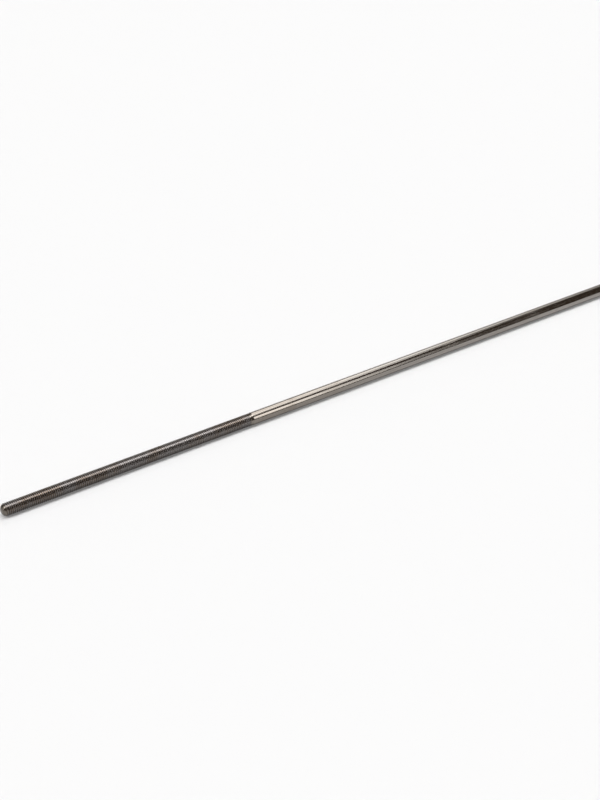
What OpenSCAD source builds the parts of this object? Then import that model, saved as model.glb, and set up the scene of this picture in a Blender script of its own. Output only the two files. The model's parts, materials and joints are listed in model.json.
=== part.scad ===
// Brake rod: a straight round steel bar. One end is threaded for an adjusting nut,
// and the other is cut off square. The rod lies along +X. The origin is on its axis,
// at the flat tip of the threaded end.

/* [Bar] */
// Length of the whole rod, tip to plain end
rod_length = 508; // [300:1:900]
// Diameter of the plain shank
shank_diameter = 6.35; // [6:0.05:10]
// Bevel round the square-cut plain end
plain_end_bevel = 0.4; // [0.1:0.1:1]

/* [Threaded end] */
// Length of the threaded end, from the tip to the last full thread
threaded_length = 134; // [40:1:200]
// Turns of thread in 25.4 mm
threads_per_inch = 26; // [16:1:40]
// How much less the thread measures over its crests than the shank
crest_allowance = 0.1; // [0:0.05:0.4]
// Turns over which the thread fades out into the shank
run_out_turns = 1.5; // [0.5:0.5:4]

/* [Tip] */
// Length of the crowned nose ahead of the first thread
nose_length = 2; // [0.5:0.1:2.2]
// Diameter of the flat left at the very tip
tip_flat_diameter = 2.4; // [1:0.1:3]

/* [Hidden] */
$fn = 96;

shank_radius = shank_diameter / 2;
crest_radius = shank_radius - crest_allowance / 2;
tip_flat_radius = tip_flat_diameter / 2;
pitch = 25.4 / threads_per_inch;
run_out_length = run_out_turns * pitch;

// Where each stretch of the rod starts, along its axis
thread_start = nose_length;
run_out_start = threaded_length;
shank_start = run_out_start + run_out_length;
bevel_start = rod_length - plain_end_bevel;

// The nose is part of a ball that passes through the rim of the flat tip and
// the front edge of the thread
crown_centre = (pow(nose_length, 2) + pow(crest_radius, 2) - pow(tip_flat_radius, 2))
             / (2 * nose_length);
crown_radius = sqrt(pow(crown_centre, 2) + pow(tip_flat_radius, 2));

// One stretch of the rod, as a cylinder or a cone
module stretch(from, to, radius_from, radius_to) {
    translate([0, 0, from])
        cylinder(h = to - from, r1 = radius_from, r2 = radius_to);
}

// The nose, rounded so that the nut starts easily
module crowned_nose() {
    intersection() {
        stretch(0, thread_start, crest_radius, crest_radius);
        translate([0, 0, crown_centre])
            sphere(r = crown_radius);
    }
}

// The threaded stretch at its crest diameter, and the run-out behind it
module threaded_end() {
    stretch(thread_start, run_out_start, crest_radius, crest_radius);
    stretch(run_out_start, shank_start, crest_radius, shank_radius);
}

// The plain bar, with its bevelled square-cut end
module shank() {
    stretch(shank_start, bevel_start, shank_radius, shank_radius);
    stretch(bevel_start, rod_length, shank_radius, shank_radius - plain_end_bevel);
}

module brake_rod() {
    color("silver")
        rotate([0, 90, 0])
            union() {
                crowned_nose();
                threaded_end();
                shank();
            }
}

brake_rod();
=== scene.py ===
import json
import math

import bpy
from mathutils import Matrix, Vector


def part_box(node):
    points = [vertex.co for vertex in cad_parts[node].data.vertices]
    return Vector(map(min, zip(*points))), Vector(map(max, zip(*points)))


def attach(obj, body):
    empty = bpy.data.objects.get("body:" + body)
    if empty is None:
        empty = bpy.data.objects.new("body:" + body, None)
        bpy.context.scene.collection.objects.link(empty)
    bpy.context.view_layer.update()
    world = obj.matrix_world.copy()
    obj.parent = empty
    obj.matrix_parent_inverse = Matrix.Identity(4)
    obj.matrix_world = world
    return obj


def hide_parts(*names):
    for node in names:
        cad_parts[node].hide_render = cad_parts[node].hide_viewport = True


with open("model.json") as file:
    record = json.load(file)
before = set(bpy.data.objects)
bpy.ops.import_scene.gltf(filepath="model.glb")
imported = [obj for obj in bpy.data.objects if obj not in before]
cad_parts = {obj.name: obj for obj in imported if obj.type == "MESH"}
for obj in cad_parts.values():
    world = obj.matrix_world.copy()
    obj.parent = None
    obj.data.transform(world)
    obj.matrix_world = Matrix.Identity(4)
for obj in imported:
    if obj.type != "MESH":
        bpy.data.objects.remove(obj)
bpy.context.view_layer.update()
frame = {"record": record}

mm = 0.001
inch = 25.4 * mm
weldDistance = 0.001 * mm
smooth = {"interpolation_type": "SMOOTHSTEP"}    # a Map Range that eases in and out
mounts = {mount["name"]: mount for mount in frame["record"]["mounts"]}

print("stage 1: sizes read from the frame")


def roundMount(name):
    # radius, length and start of a round mount, in metres
    mount = mounts[name]
    return mount["dims"]["r_mm"] * mm, mount["dims"]["length_mm"] * mm, mount["pos_m"][0]


crestRadius, crestLength, noseLength = roundMount("threaded_end")
shankRadius, shankLength, bevelStart = roundMount("plain_end")

rod = {
    "length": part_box("brake_rod")[1].x,
    "noseLength": noseLength,
    "tipFlatRadius": 1.2 * mm,
    "threadEnd": noseLength + crestLength,
    "shankStart": bevelStart - shankLength,
    "bevelStart": bevelStart,
    "sides": 128,
    "smoothAngle": 32,          # degrees; an edge that turns by more stays sharp
}


def toLinear(hexColour):
    # sRGB hex to the linear values that Blender's sockets take
    channels = [int(hexColour[i:i + 2], 16) / 255 for i in (1, 3, 5)]
    return [c / 12.92 if c <= 0.04045 else ((c + 0.055) / 1.055) ** 2.4 for c in channels] + [1.0]


def addNode(tree, kind, settings=None, inputs=None):
    # one node with its settings and its inputs, each a value, another node or one of its outputs
    node = tree.nodes.new(kind)
    for name, value in (settings or {}).items():
        setattr(node, name, value)
    for name, value in (inputs or {}).items():
        if isinstance(value, bpy.types.Node):
            value = value.outputs[0]
        if isinstance(value, bpy.types.NodeSocket):
            tree.links.new(value, node.inputs[name])
        else:
            node.inputs[name].default_value = value
    return node


def deselectAll():
    if bpy.context.object and bpy.context.object.mode != "OBJECT":
        bpy.ops.object.mode_set(mode="OBJECT")
    bpy.ops.object.select_all(action="DESELECT")


def pick(piece):
    deselectAll()
    piece.select_set(True)
    bpy.context.view_layer.objects.active = piece


def drawOutline(name, points):
    # a line of single extrudes through (along the axis, out from the axis) points
    deselectAll()
    bpy.ops.mesh.primitive_plane_add(size=mm)
    piece = bpy.context.object
    piece.name = name
    bpy.ops.object.mode_set(mode="EDIT")
    bpy.ops.mesh.merge(type="CENTER")
    start = points[0]
    bpy.ops.transform.translate(value=(start[0], 0, start[1]))
    for before, after in zip(points, points[1:]):
        step = (after[0] - before[0], 0, after[1] - before[1])
        bpy.ops.mesh.extrude_region_move(TRANSFORM_OT_translate={"value": step})
    bpy.ops.object.mode_set(mode="OBJECT")
    return piece


def turnOutline(piece, steps, turns=1, advance=0.0):
    # turns an outline about the rod's axis, and moves it along by advance in each turn
    pick(piece)
    screw = piece.modifiers.new("turning", "SCREW")
    screw.axis = "X"
    screw.steps = steps
    screw.render_steps = steps
    screw.iterations = turns
    screw.screw_offset = advance
    bpy.ops.object.modifier_apply(modifier=screw.name)
    bpy.ops.object.mode_set(mode="EDIT")
    bpy.ops.mesh.select_all(action="SELECT")
    bpy.ops.mesh.remove_doubles(threshold=weldDistance)
    bpy.ops.object.mode_set(mode="OBJECT")


def capEnd(piece, test):
    # closes the open end whose vertices pass the test, with a fan to its middle
    pick(piece)
    bpy.ops.object.mode_set(mode="EDIT")
    bpy.ops.mesh.select_mode(type="VERT")
    bpy.ops.mesh.select_all(action="DESELECT")
    bpy.ops.mesh.select_non_manifold()
    bpy.ops.object.mode_set(mode="OBJECT")
    vertices = piece.data.vertices
    for edge in piece.data.edges:
        edge.select = edge.select and all(test(vertices[v].co) for v in edge.vertices)
    for vertex in vertices:
        vertex.select = vertex.select and test(vertex.co)
    bpy.ops.object.mode_set(mode="EDIT")
    bpy.ops.mesh.edge_face_add()
    bpy.ops.mesh.poke()
    bpy.ops.object.mode_set(mode="OBJECT")


def faceOutwards(piece):
    pick(piece)
    bpy.ops.object.mode_set(mode="EDIT")
    bpy.ops.mesh.select_all(action="SELECT")
    bpy.ops.mesh.normals_make_consistent(inside=False)
    bpy.ops.object.mode_set(mode="OBJECT")


def combine(piece, other, operation):
    # a boolean with another closed piece, which is used up
    pick(piece)
    cut = piece.modifiers.new(operation.lower(), "BOOLEAN")
    cut.operation = operation
    cut.solver = "EXACT"
    cut.object = other
    bpy.ops.object.modifier_apply(modifier=cut.name)
    bpy.data.objects.remove(other)


print("stage 2: thread")

# 60 degree thread, 26 turns to the inch, with round roots and narrow flats on its crests
threadPitch = inch / 26
thread = {
    "pitch": threadPitch,
    "rootRounding": threadPitch / 6,
    "crestRounding": 0.13 * mm,
    "crestFlat": 0.06 * mm,
    "flankAngle": 30,           # degrees from straight out
    "arcAngles": (0, 30, 60),   # where a rounding has its points, from its middle to the flank
    "stepsPerTurn": 54,
    "overrunTurns": 1.5,        # ahead of the tip, cut away again with the nose
    "endMargin": 0.01,          # in pitches, for telling an open end from the turns beside it
}


def threadOutline():
    # one pitch, from the bottom of a groove over the crest to the bottom of the next
    pitch, flat = thread["pitch"], thread["crestFlat"]
    rootRounding, crestRounding = thread["rootRounding"], thread["crestRounding"]
    # at this flank angle a rounding takes its own radius off the height of the sharp thread
    sharpHeight = (pitch - flat) * math.cos(math.radians(thread["flankAngle"]))
    depth = sharpHeight - rootRounding - crestRounding
    bottom = crestRadius - depth
    rising = []
    for angle in thread["arcAngles"]:
        a = math.radians(angle)
        rising.append((rootRounding * math.sin(a), bottom + rootRounding * (1 - math.cos(a))))
    for angle in reversed(thread["arcAngles"]):
        a = math.radians(angle)
        rising.append(((pitch - flat) / 2 - crestRounding * math.sin(a),
                       crestRadius - crestRounding * (1 - math.cos(a))))
    falling = [(pitch - along, out) for along, out in reversed(rising)]
    return rising + falling, bottom


outline, rootRadius = threadOutline()


def makeThread():
    pitch = thread["pitch"]
    start = -thread["overrunTurns"] * pitch
    turns = math.ceil((rod["shankStart"] - start) / pitch)
    piece = drawOutline("brakeRod", [(start + along, out) for along, out in outline])
    turnOutline(piece, thread["stepsPerTurn"], turns, pitch)
    margin = thread["endMargin"] * pitch
    capEnd(piece, lambda co: co.x < start + pitch + margin)
    capEnd(piece, lambda co: co.x > start + turns * pitch - margin)
    faceOutwards(piece)
    return piece


rodPiece = makeThread()

print("stage 3: shank with the run-out cone and the plain end")

shank = {
    "coneTipRadius": rootRadius - 0.2 * mm,     # starts well under the bottom of the grooves
    "endBevel": rod["length"] - rod["bevelStart"],
    "holdingLoop": 0.2 * mm,    # keeps the smooth shading of each edge close to that edge
}


def makeShank():
    # the cone on its front lies in the grooves of the last turns, as the die leaves them
    runOut = rod["shankStart"] - rod["threadEnd"]
    slope = (shankRadius - rootRadius) / runOut
    coneTip = rod["threadEnd"] - (rootRadius - shank["coneTipRadius"]) / slope
    bevel = shank["endBevel"]
    points = [
        (coneTip, 0),
        (coneTip, shank["coneTipRadius"]),
        (rod["shankStart"], shankRadius),
        (rod["shankStart"] + shank["holdingLoop"], shankRadius),
        (rod["bevelStart"] - shank["holdingLoop"], shankRadius),
        (rod["bevelStart"], shankRadius),
        (rod["length"], shankRadius - bevel),
        (rod["length"], 0),
    ]
    piece = drawOutline("plainShank", points)
    turnOutline(piece, rod["sides"])
    faceOutwards(piece)
    return piece


combine(rodPiece, makeShank(), "UNION")

print("stage 4: crowned nose")

nose = {
    "arcSteps": 14,
    "cutterOverlap": 0.15 * mm,     # how far the crown's arc goes on past the crests
    "cutterReach": 3 * mm,          # how far the waste goes on past the steel
}


def noseCutter():
    # the waste that the lathe takes off: all that lies outside the crown and ahead of the tip
    length = rod["noseLength"]
    flat = rod["tipFlatRadius"]
    centre = (length ** 2 + crestRadius ** 2 - flat ** 2) / (2 * length)
    crown = math.hypot(centre, flat)
    outer = crestRadius + nose["cutterOverlap"]
    reach = nose["cutterReach"]
    first = math.asin(flat / crown)
    last = math.asin(outer / crown)
    arc = []
    for step in range(nose["arcSteps"] + 1):
        a = first + (last - first) * step / nose["arcSteps"]
        arc.append((centre - crown * math.cos(a), crown * math.sin(a)))
    waste = [(arc[-1][0], outer + reach), (-reach, outer + reach), (-reach, 0)]
    points = [(-reach, 0), (0, 0)] + arc + waste
    piece = drawOutline("noseWaste", points)
    turnOutline(piece, rod["sides"])
    faceOutwards(piece)
    return piece


combine(rodPiece, noseCutter(), "DIFFERENCE")

pick(rodPiece)
bpy.ops.object.shade_smooth_by_angle(angle=math.radians(rod["smoothAngle"]))

print("stage 5: steel")

steel = {
    "bright": "#95918C",            # drawn surface
    "tarnish": "#6E645A",           # thin brown film where the rod has been handled
    "crest": "#747070",             # tops of the thread, painted darker than the grooves so that lit crests and shaded grooves come out nearly even
    "groove": "#928F8D",            # flanks and grooves, painted lighter than the crests: painted light that cancels the shade in the grooves
    "oil": "#807365",               # where old oil has dried brown in them
    "grime": "#433E3A",             # painted shade on the underside of the thread, darker towards the bottom
    "end": "#6A645D",               # nose and cut end, dull and a little browned
    "endRing": "#787169",           # tops of their turning marks
    "roughness": 0.115,
    "crestRoughness": 0.18,
    "grooveRoughness": 0.28,
    "endRoughness": 0.28,
    "grooveTop": 0.03 * mm,         # depth below the crests at which the cut flank starts
    "grooveFull": 0.22 * mm,        # and at which nothing of the crest's look is left
    "threadLookStart": 0.6,         # share of the nose's length where the thread's look sets in
    "drawMark": 0.5 * mm,           # width of a lengthwise mark; real ones are too fine to show
    "drawMarkLength": 70 * mm,
    "drawMarkHeight": 0.004 * mm,
    "drawMarkNoise": (0.3, 0.7),    # noise at which a mark starts and is at its darkest
    "drawMarkCover": 0.2,           # share of the steel's colour that the darkest mark hides
    "drawMarkPolish": 0.03,         # how much smoother the lightest mark is than the steel
    "drawMarkDulling": 0.05,        # and how much rougher the darkest one
    "grimeCover": 0.55,             # share of the underside that it hides
    "grimeFade": 0.3,               # height over which it fades out, as a share of the radius
    "patch": 14 * mm,               # size of a tarnished patch
    "patchNoise": (0.48, 0.72),
    "patchCover": 0.25,
    "patchDulling": 0.06,
    "oilNoise": (0.42, 0.6),
    "handledLength": 110 * mm,      # how far from the thread the rod is handled when it is set
    "handledCover": 0.5,            # share of the steel's colour hidden there, next to the thread
    "turningMark": 0.25 * mm,       # spacing of the rings on the nose and on the cut end
    "turningMarkWobble": 0.4,
}


def drawnSteel():
    # bright drawn carbon steel, bar as it left the die: a smooth metal with soft lengthwise streaks
    # and a little brown film; a cut thread with old oil in its grooves, painted light in the grooves,
    # darker crests and painted shade underneath
    material = bpy.data.materials.new("brightDrawnSteel")
    material.use_nodes = True
    tree = material.node_tree
    tree.nodes.clear()
    colours = {"data_type": "RGBA"}     # such a Mix takes its colours at 6 and 7, and gives one at 2
    markStart, markFull = steel["drawMarkNoise"]
    patchStart, patchFull = steel["patchNoise"]
    oilStart, oilFull = steel["oilNoise"]
    grimeFade = steel["grimeFade"] * crestRadius

    place = addNode(tree, "ShaderNodeTexCoord").outputs["Object"]
    parts = addNode(tree, "ShaderNodeSeparateXYZ", inputs={"Vector": place}).outputs
    along = parts["X"]
    across = addNode(tree, "ShaderNodeVectorMath", {"operation": "MULTIPLY"}, {
        0: place, 1: (0, 1, 1)})
    out = addNode(tree, "ShaderNodeVectorMath", {"operation": "LENGTH"}, {0: across}).outputs["Value"]

    # masks for the threaded stretch, its grooves with their painted light and its underside with its
    # painted shade, and for the nose and cut end
    behindNose = addNode(tree, "ShaderNodeMapRange", smooth, {
        "Value": along, "From Min": rod["noseLength"] * steel["threadLookStart"],
        "From Max": rod["noseLength"]})
    onThread = addNode(tree, "ShaderNodeMapRange", smooth, {
        "Value": along, "From Min": rod["threadEnd"] - thread["pitch"], "From Max": rod["threadEnd"],
        "To Min": behindNose, "To Max": 0.0})
    # mask of the grooves, where painted light lifts the steel's colour against the shade in them
    groove = addNode(tree, "ShaderNodeMapRange", smooth, {
        "Value": out, "From Min": crestRadius - steel["grooveFull"],
        "From Max": crestRadius - steel["grooveTop"], "To Min": onThread, "To Max": 0.0})
    # painted shade: the thread's colour darkens towards its underside
    shadeTowardsBottom = addNode(tree, "ShaderNodeMapRange", smooth, {
        "Value": parts["Z"], "From Min": -grimeFade, "From Max": grimeFade,
        "To Min": steel["grimeCover"], "To Max": 0.0})
    paintedShadeUnderThread = addNode(tree, "ShaderNodeMath", {"operation": "MULTIPLY"}, {0: shadeTowardsBottom, 1: onThread})
    onNose = addNode(tree, "ShaderNodeMath", {"operation": "SUBTRACT"}, {0: 1.0, 1: behindNose})
    onEnd = addNode(tree, "ShaderNodeMapRange", smooth, {
        "Value": along, "From Min": rod["bevelStart"], "From Max": rod["length"],
        "To Min": onNose, "To Max": 1.0})

    # lengthwise streaks from the die, blotches of tarnish, and rings from the lathe
    stretched = addNode(tree, "ShaderNodeMapping", inputs={"Vector": place, "Scale": (
        1 / steel["drawMarkLength"], 1 / steel["drawMark"], 1 / steel["drawMark"])})
    streaks = addNode(tree, "ShaderNodeTexNoise", inputs={
        "Vector": stretched, "Scale": 1.0, "Detail": 2.0})
    patches = addNode(tree, "ShaderNodeTexNoise", inputs={
        "Vector": place, "Scale": 1 / steel["patch"], "Detail": 4.0, "Roughness": 0.6})
    # at a scale of 1 the rings of a wave texture lie pi / 10 apart
    rings = addNode(tree, "ShaderNodeTexWave", {"wave_type": "RINGS", "rings_direction": "X"}, {
        "Vector": place, "Scale": math.pi / 10 / steel["turningMark"],
        "Distortion": steel["turningMarkWobble"]})

    handled = addNode(tree, "ShaderNodeMapRange", smooth, {
        "Value": along, "From Min": rod["shankStart"],
        "From Max": rod["shankStart"] + steel["handledLength"],
        "To Min": steel["handledCover"], "To Max": 0.0})
    tarnished = addNode(tree, "ShaderNodeMapRange", smooth, {
        "Value": patches, "From Min": patchStart, "From Max": patchFull,
        "To Max": steel["patchCover"]})
    tarnished = addNode(tree, "ShaderNodeMath", {"operation": "ADD"}, {0: handled, 1: tarnished})
    colour = addNode(tree, "ShaderNodeMix", colours, {
        "Factor": tarnished, 6: toLinear(steel["bright"]), 7: toLinear(steel["tarnish"])}).outputs[2]
    streaked = addNode(tree, "ShaderNodeMapRange", smooth, {
        "Value": streaks, "From Min": markStart, "From Max": markFull,
        "To Max": steel["drawMarkCover"]})
    colour = addNode(tree, "ShaderNodeMix", colours, {
        "Factor": streaked, 6: colour, 7: toLinear(steel["tarnish"])}).outputs[2]
    colour = addNode(tree, "ShaderNodeMix", colours, {
        "Factor": onThread, 6: colour, 7: toLinear(steel["crest"])}).outputs[2]
    oiled = addNode(tree, "ShaderNodeMapRange", smooth, {
        "Value": patches, "From Min": oilStart, "From Max": oilFull})
    # the grooves' colour, painted lighter than the crests to stand in for light, with dried oil in
    # patches
    paintedLightGrooveColour = addNode(tree, "ShaderNodeMix", colours, {
        "Factor": oiled, 6: toLinear(steel["groove"]), 7: toLinear(steel["oil"])}).outputs[2]
    colour = addNode(tree, "ShaderNodeMix", colours, {
        "Factor": groove, 6: colour, 7: paintedLightGrooveColour}).outputs[2]
    # painted shade on the underside of the thread
    colour = addNode(tree, "ShaderNodeMix", colours, {
        "Factor": paintedShadeUnderThread, 6: colour, 7: toLinear(steel["grime"])}).outputs[2]
    endColour = addNode(tree, "ShaderNodeMix", colours, {
        "Factor": rings, 6: toLinear(steel["end"]), 7: toLinear(steel["endRing"])}).outputs[2]
    colour = addNode(tree, "ShaderNodeMix", colours, {
        "Factor": onEnd, 6: colour, 7: endColour}).outputs[2]

    streakRoughness = addNode(tree, "ShaderNodeMapRange", smooth, {
        "Value": streaks, "From Min": markStart, "From Max": markFull,
        "To Min": steel["roughness"] - steel["drawMarkPolish"],
        "To Max": steel["roughness"] + steel["drawMarkDulling"]})
    patchRoughness = addNode(tree, "ShaderNodeMapRange", smooth, {
        "Value": patches, "From Min": patchStart, "From Max": patchFull,
        "To Max": steel["patchDulling"]})
    roughness = addNode(tree, "ShaderNodeMath", {"operation": "ADD"}, {
        0: streakRoughness, 1: patchRoughness})
    roughness = addNode(tree, "ShaderNodeMix", inputs={
        "Factor": onThread, "A": roughness, "B": steel["crestRoughness"]})
    roughness = addNode(tree, "ShaderNodeMix", inputs={
        "Factor": groove, "A": roughness, "B": steel["grooveRoughness"]})
    roughness = addNode(tree, "ShaderNodeMix", inputs={
        "Factor": onEnd, "A": roughness, "B": steel["endRoughness"]})

    bump = addNode(tree, "ShaderNodeBump", inputs={
        "Strength": 1.0, "Distance": steel["drawMarkHeight"], "Height": streaks})
    shader = addNode(tree, "ShaderNodeBsdfPrincipled", inputs={
        "Base Color": colour, "Metallic": 1.0, "Roughness": roughness, "Normal": bump})
    addNode(tree, "ShaderNodeOutputMaterial", inputs={"Surface": shader})
    return material


rodPiece.data.materials.clear()
rodPiece.data.materials.append(drawnSteel())
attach(rodPiece, "root")
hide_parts("brake_rod")

print("stage 6: floor, light and camera")

floorCard = {
    "colour": "#CACBCC",
    "roughness": 0.9,
    "specular": 0.1,
    "glow": 0.15,
    "size": 60,
}


def makeFloor():
    deselectAll()
    bpy.ops.mesh.primitive_plane_add(size=floorCard["size"], location=(0, 0, -shankRadius))
    floor = bpy.context.object
    floor.name = "paleFloor"
    material = bpy.data.materials.new("whiteCard")
    material.use_nodes = True
    tree = material.node_tree
    tree.nodes.clear()
    # matt white card, lifted towards white where it is seen or mirrored: it keeps the shadow
    path = addNode(tree, "ShaderNodeLightPath").outputs
    seen = addNode(tree, "ShaderNodeMath", {"operation": "MAXIMUM"}, {
        0: path["Is Camera Ray"], 1: path["Is Glossy Ray"]})
    seen = addNode(tree, "ShaderNodeMath", {"operation": "MAXIMUM"}, {
        0: seen, 1: path["Is Transmission Ray"]})
    glow = addNode(tree, "ShaderNodeMath", {"operation": "MULTIPLY"}, {
        0: seen, 1: floorCard["glow"]})
    shader = addNode(tree, "ShaderNodeBsdfPrincipled", inputs={
        "Base Color": toLinear(floorCard["colour"]), "Roughness": floorCard["roughness"],
        "Specular IOR Level": floorCard["specular"], "Emission Color": (1, 1, 1, 1),
        "Emission Strength": glow})
    addNode(tree, "ShaderNodeOutputMaterial", inputs={"Surface": shader})
    floor.data.materials.append(material)


# soft boxes and the pale wall behind, each a patch of directions with soft edges: it gives where
# the patch starts and how soft that edge is, then where it ends and how soft that edge is.
# "round" is the angle over the rod in degrees, from the horizon behind it (0) over the top to
# the horizon in front (180), and "along" is how far along the rod per step out from it
studio = {
    "boxColour": "#FFFFFF",
    "backdropColour": "#FCFCFC",
    "roomColour": "#FFD6AA",
    "roomStrength": 0.06,
    "panels": [
        {"name": "wallBehind", "strength": 0.85,
         "round": (-30, 14, 30, 14), "along": (0.4, 0.15, 9, 1)},
        {"name": "wallLeft", "strength": 0.28,
         "round": (-30, 14, 30, 14), "along": (-9, 1, 0.4, 0.15)},
        {"name": "rearGlow", "strength": 0.2,
         "round": (34, 8, 60, 8), "along": (-1.8, 0.1, 0.46, 0.06)},
        {"name": "rearBox", "strength": 5.6,
         "round": (36, 7, 68, 7), "along": (0.46, 0.11, 0.62, 0.32)},
        {"name": "topBox", "strength": 5.8,
         "round": (66, 5, 95, 5), "along": (0.46, 0.12, 0.565, 0.16)},
        {"name": "topStrip", "strength": 5.2,
         "round": (76, 5, 103, 5), "along": (-1.8, 0.1, 0.45, 0.06)},
        {"name": "topNear", "strength": 10,
         "round": (76, 5, 103, 5), "along": (0.36, 0.06, 0.49, 0.03)},
        {"name": "topFar", "strength": 5.0,
         "round": (76, 5, 103, 5), "along": (1.1, 0.1, 5, 1)},
        {"name": "corner", "strength": 7.5,
         "round": (95, 5, 117, 5), "along": (0.39, 0.05, 0.475, 0.035)},
        {"name": "frontBox", "strength": 6.7,
         "round": (129, 4, 167.5, 4), "along": (0.46, 0.03, 0.55, 0.12)},
        {"name": "leftFill", "strength": 1.2,
         "round": (20, 10, 110, 10), "along": (-9, 1, -1.8, 0.3)},
        {"name": "rightFill", "strength": 1.2,
         "round": (20, 10, 160, 10), "along": (1.25, 0.2, 9, 1)},
    ],
}


def makeStudio():
    world = bpy.data.worlds.new("softStudio")
    bpy.context.scene.world = world
    world.use_nodes = True
    tree = world.node_tree
    tree.nodes.clear()

    direction = addNode(tree, "ShaderNodeTexCoord").outputs["Generated"]
    parts = addNode(tree, "ShaderNodeSeparateXYZ", inputs={"Vector": direction}).outputs
    across = addNode(tree, "ShaderNodeVectorMath", {"operation": "MULTIPLY"}, {
        0: direction, 1: (0, 1, 1)})
    out = addNode(tree, "ShaderNodeVectorMath", {"operation": "LENGTH"}, {0: across}).outputs["Value"]
    along = addNode(tree, "ShaderNodeMath", {"operation": "DIVIDE"}, {0: parts["X"], 1: out})
    angle = addNode(tree, "ShaderNodeMath", {"operation": "ARCTAN2"}, {0: parts["Z"], 1: parts["Y"]})
    degrees = addNode(tree, "ShaderNodeMath", {"operation": "DEGREES"}, {0: angle})

    strength = 0.0
    for panel in studio["panels"]:
        lit = panel["strength"]
        for measure, side in ((degrees, "round"), (along, "along")):
            low, lowSoft, high, highSoft = panel[side]
            lit = addNode(tree, "ShaderNodeMapRange", smooth, {
                "Value": measure, "From Min": low - lowSoft, "From Max": low + lowSoft,
                "To Max": lit})
            lit = addNode(tree, "ShaderNodeMapRange", smooth, {
                "Value": measure, "From Min": high - highSoft, "From Max": high + highSoft,
                "To Min": lit, "To Max": 0.0})
        strength = addNode(tree, "ShaderNodeMath", {"operation": "MAXIMUM", "label": panel["name"]}, {
            0: strength, 1: lit})
    boxes = addNode(tree, "ShaderNodeBackground", inputs={
        "Color": toLinear(studio["boxColour"]), "Strength": strength})
    room = addNode(tree, "ShaderNodeBackground", inputs={
        "Color": toLinear(studio["roomColour"]), "Strength": studio["roomStrength"]})
    lights = addNode(tree, "ShaderNodeAddShader", inputs={0: boxes, 1: room})
    # past the floor's edge the camera sees white, and the steel still mirrors the boxes and walls
    backdrop = addNode(tree, "ShaderNodeBackground", inputs={
        "Color": toLinear(studio["backdropColour"]), "Strength": 1.0})
    seen = addNode(tree, "ShaderNodeLightPath").outputs["Is Camera Ray"]
    surface = addNode(tree, "ShaderNodeMixShader", inputs={0: seen, 1: lights, 2: backdrop})
    addNode(tree, "ShaderNodeOutputWorld", inputs={"Surface": surface})


camera = {
    "place": (-0.2671, -0.6224, 0.4757),
    "azimuth": -34.75,          # degrees round from the front
    "elevation": 32.1,          # degrees up from the floor
    "lens": 81.0,
    "clipStart": 10 * mm,
}


def makeCamera():
    data = bpy.data.cameras.new("camera")
    data.lens = camera["lens"]
    data.clip_start = camera["clipStart"]
    holder = bpy.data.objects.new("camera", data)
    bpy.context.scene.collection.objects.link(holder)
    turn, lift = math.radians(camera["azimuth"]), math.radians(camera["elevation"])
    back = Vector((math.sin(turn) * math.cos(lift), -math.cos(turn) * math.cos(lift), math.sin(lift)))
    holder.rotation_mode = "QUATERNION"
    holder.rotation_quaternion = (-back).to_track_quat("-Z", "Y")
    holder.location = camera["place"]
    bpy.context.scene.camera = holder


makeFloor()
makeStudio()
makeCamera()
bpy.context.scene.view_settings.view_transform = "Standard"

print("stage 7: done")
